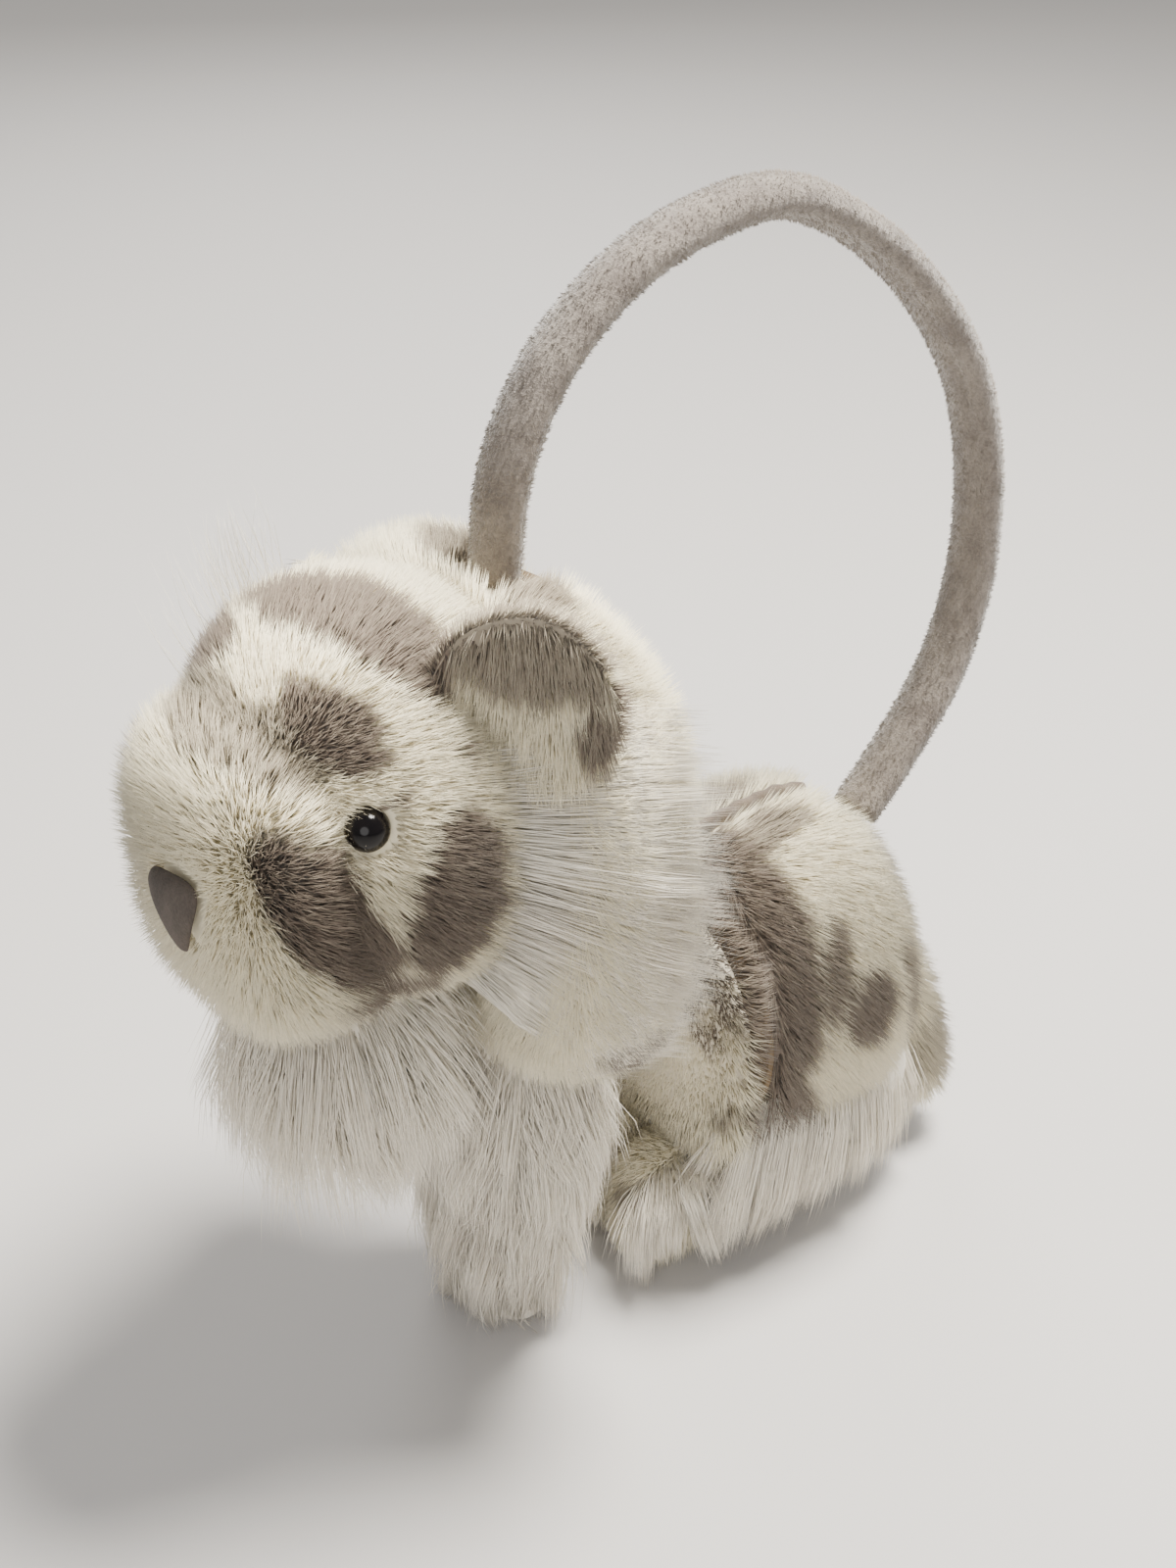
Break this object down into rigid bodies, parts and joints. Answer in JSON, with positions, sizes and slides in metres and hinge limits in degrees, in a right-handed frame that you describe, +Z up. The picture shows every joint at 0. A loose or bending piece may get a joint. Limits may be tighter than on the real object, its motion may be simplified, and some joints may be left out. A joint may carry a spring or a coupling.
{
  "type": "plush animal earmuffs",
  "caption": "Plush wild-cat earmuffs: the head and chest on one muff and the hindquarters on the other, on a sprung velour headband.",
  "frame": {"origin": "on the table, under the middle of the whole object's box", "axes": "+Z up to the crown of the headband, +X from the head muff to the rear muff, the cat's left side at -Y"},
  "size_m": [0.2146, 0.098, 0.2475],
  "materials": {
    "plush_cream": "short-pile plush, cream with taupe patches",
    "plush_taupe": "short-pile plush, taupe",
    "plush_long_white": "long-pile plush, off-white",
    "plush_ear_side": "soft fleece, cream",
    "fibre_fill": "loose polyester fibre",
    "board": "stiff pressed board",
    "webbing": "woven cotton tape",
    "nose_felt": "brushed felt, taupe grey",
    "eye_gloss": "polished black",
    "eye_washer": "moulded white",
    "velour": "velour, grey taupe",
    "foam": "open-cell foam",
    "spring_steel": "tempered, bare",
    "end_cap_plastic": "moulded black",
    "seam_tape": "folded woven tape"
  },
  "bodies": {
    "head_muff": {"head_muff_cover": "plush_cream", "head_muff_fill": "fibre_fill", "head_band_pocket": "webbing", "head_board": "board", "head_ear_cushion": "plush_ear_side", "head_cover": "plush_cream", "head_fill": "fibre_fill", "muzzle": "plush_cream", "nose_patch": "nose_felt", "eye_left": "eye_gloss", "eye_right": "eye_gloss", "eye_washer_left": "eye_washer", "eye_washer_right": "eye_washer", "ear_left": "plush_taupe", "ear_right": "plush_taupe", "cheek_ruff_left": "plush_long_white", "cheek_ruff_right": "plush_long_white", "chin_beard": "plush_long_white", "chest": "plush_long_white"},
    "band_head": {"spring_strip_head": "spring_steel", "band_padding_head": "foam", "band_sleeve_head": "velour", "end_cap_head": "end_cap_plastic"},
    "band_rear": {"spring_strip_rear": "spring_steel", "band_padding_rear": "foam", "band_sleeve_rear": "velour", "end_cap_rear": "end_cap_plastic"},
    "rear_muff": {"rump_cover": "plush_cream", "rump_fill": "fibre_fill", "rump_band_pocket": "webbing", "rump_board": "board", "rump_ear_cushion": "plush_ear_side", "hind_foot_left": "plush_cream", "hind_foot_right": "plush_cream", "belly_fringe_left": "plush_long_white", "belly_fringe_right": "plush_long_white", "tail": "plush_taupe", "rump_seam_tape": "seam_tape"}
  },
  "joints": [
    {"name": "head_muff_tilt", "type": "hinge", "parent": "head_muff", "child": "band_head", "pos_m": [-0.03583, 0, 0.155], "axis": [0, -1, 0], "range_deg": [-2, 8], "stiffness_Nm_per_rad": 1.5},
    {"name": "band_opening", "type": "hinge", "parent": "band_head", "child": "band_rear", "pos_m": [0.03032, 0, 0.24755], "axis": [0, -1, 0], "range_deg": [0, 40], "stiffness_Nm_per_rad": 0.6},
    {"name": "rear_muff_tilt", "type": "hinge", "parent": "band_rear", "child": "rear_muff", "pos_m": [0.05387, 0, 0.0785], "axis": [0, -1, 0], "range_deg": [-2, 8], "stiffness_Nm_per_rad": 1.5}
  ]
}
